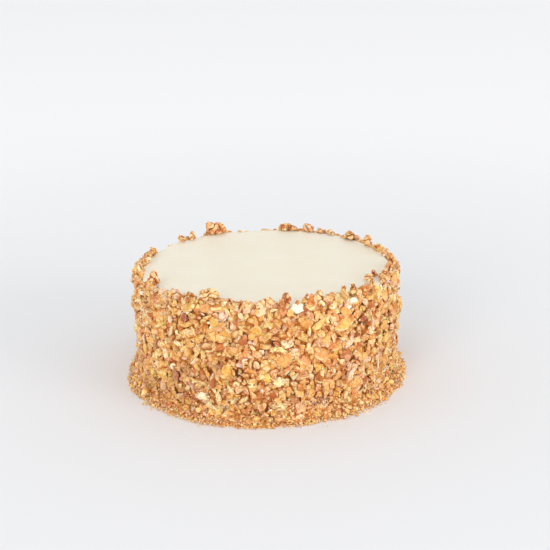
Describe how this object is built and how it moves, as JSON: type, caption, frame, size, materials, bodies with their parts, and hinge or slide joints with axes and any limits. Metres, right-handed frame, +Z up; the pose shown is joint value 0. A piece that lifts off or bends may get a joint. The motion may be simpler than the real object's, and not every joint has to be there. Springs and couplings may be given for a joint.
{
  "type": "carrot cake",
  "caption": "Whole round carrot cake with a smooth frosted top, chopped walnuts all round the side, walnut pieces on the rim and fine crumbs at the foot.",
  "frame": {"origin": "centre of the cake's underside, on the surface that it stands on", "axes": "+Z up through the middle of the cake; -Y is the side that faces the viewer, and +X is to the viewer's right"},
  "size_m": [0.24, 0.2529, 0.1068],
  "materials": {
    "frosting": "ivory cream cheese frosting, spread smooth, with a soft low sheen",
    "chopped_walnut": "chopped walnuts: golden tan broken faces, cream edges and orange-brown skin",
    "nut_crumb": "fine dry nut crumbs, golden tan with darker grains",
    "walnut_kernel": "walnut kernel, tan flesh under thin veined brown skin, slightly oily"
  },
  "bodies": {
    "root": {"frosted_cake": "frosting", "nut_coat": "chopped_walnut", "crumb_bank": "nut_crumb", "rim_walnut_01": "walnut_kernel", "rim_walnut_02": "walnut_kernel", "rim_walnut_03": "walnut_kernel", "rim_walnut_04": "walnut_kernel", "rim_walnut_05": "walnut_kernel", "rim_walnut_06": "walnut_kernel", "rim_walnut_07": "walnut_kernel", "rim_walnut_08": "walnut_kernel", "rim_walnut_09": "walnut_kernel", "rim_walnut_10": "walnut_kernel", "rim_walnut_11": "walnut_kernel", "rim_walnut_12": "walnut_kernel", "rim_walnut_13": "walnut_kernel", "rim_walnut_14": "walnut_kernel", "rim_walnut_15": "walnut_kernel", "rim_walnut_16": "walnut_kernel", "rim_walnut_17": "walnut_kernel", "rim_walnut_18": "walnut_kernel", "rim_walnut_19": "walnut_kernel", "rim_walnut_20": "walnut_kernel", "rim_walnut_21": "walnut_kernel", "rim_walnut_22": "walnut_kernel", "rim_walnut_23": "walnut_kernel", "rim_walnut_24": "walnut_kernel", "rim_walnut_25": "walnut_kernel", "rim_walnut_26": "walnut_kernel", "rim_walnut_27": "walnut_kernel", "rim_walnut_28": "walnut_kernel", "rim_walnut_29": "walnut_kernel", "rim_walnut_30": "walnut_kernel", "rim_walnut_31": "walnut_kernel", "rim_walnut_32": "walnut_kernel", "rim_walnut_33": "walnut_kernel"}
  },
  "joints": []
}
